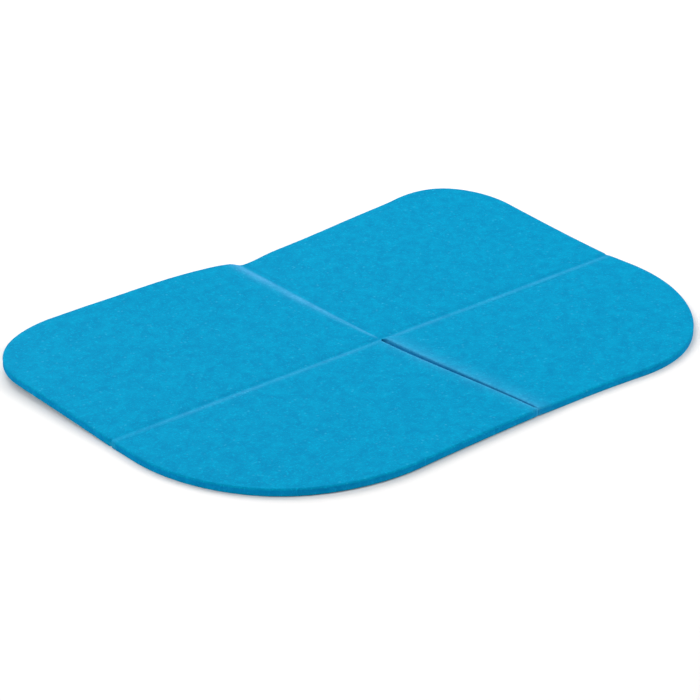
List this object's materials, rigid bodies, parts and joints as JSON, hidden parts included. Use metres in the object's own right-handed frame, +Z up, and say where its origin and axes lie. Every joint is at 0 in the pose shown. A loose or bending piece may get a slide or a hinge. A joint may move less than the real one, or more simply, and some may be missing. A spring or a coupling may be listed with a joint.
{
  "type": "folding laptop cooling pad",
  "caption": "Thin foam pad that folds in quarters along pressed creases that cross, with rounded corners and waisted long sides.",
  "frame": {"origin": "under the middle of the pad's bounding box, on the surface that it lies on", "axes": "+X along the long crease, +Y towards the deeper back half, +Z up"},
  "size_m": [0.38, 0.2622, 0.0117],
  "materials": {
    "foam_sheet": "matt closed-cell foam with a fine felted, speckled skin",
    "foam_core": "matt cut foam, a little darker than the skin",
    "crease_web": "foam pressed thin, matt",
    "heat_insert": "sealed foil-faced film"
  },
  "bodies": {
    "front_left": {"front_left_top_sheet": "foam_sheet", "front_left_foam_core": "foam_core", "front_left_heat_insert": "heat_insert", "front_left_base_sheet": "foam_sheet", "long_crease_left_web": "crease_web"},
    "front_right": {"front_right_top_sheet": "foam_sheet", "front_right_foam_core": "foam_core", "front_right_heat_insert": "heat_insert", "front_right_base_sheet": "foam_sheet", "long_crease_right_web": "crease_web"},
    "back_left": {"back_left_top_sheet": "foam_sheet", "back_left_foam_core": "foam_core", "back_left_heat_insert": "heat_insert", "back_left_base_sheet": "foam_sheet", "cross_crease_web": "crease_web"},
    "back_right": {"back_right_top_sheet": "foam_sheet", "back_right_foam_core": "foam_core", "back_right_heat_insert": "heat_insert", "back_right_base_sheet": "foam_sheet"}
  },
  "joints": [
    {"name": "long_fold_left", "type": "hinge", "parent": "front_left", "child": "back_left", "pos_m": [-0.095, -0.00688, 0.00675], "axis": [1, 0, 0], "range_deg": [-3, 176.8], "deforming": ["long_crease_left_web"]},
    {"name": "cross_fold", "type": "hinge", "parent": "back_left", "child": "back_right", "pos_m": [0, 0.05699, 0.01756], "axis": [0, -0.9986, -0.0523], "range_deg": [0, 179.8], "deforming": ["cross_crease_web"]},
    {"name": "long_fold_right", "type": "hinge", "parent": "back_right", "child": "front_right", "pos_m": [0.095, -0.00688, 0.00675], "axis": [-1, 0, 0], "range_deg": [-3, 176.8], "deforming": ["long_crease_right_web"]}
  ],
  "couplings": [
    {"joint": "long_fold_right", "follows": "long_fold_left", "ratio": 1}
  ]
}
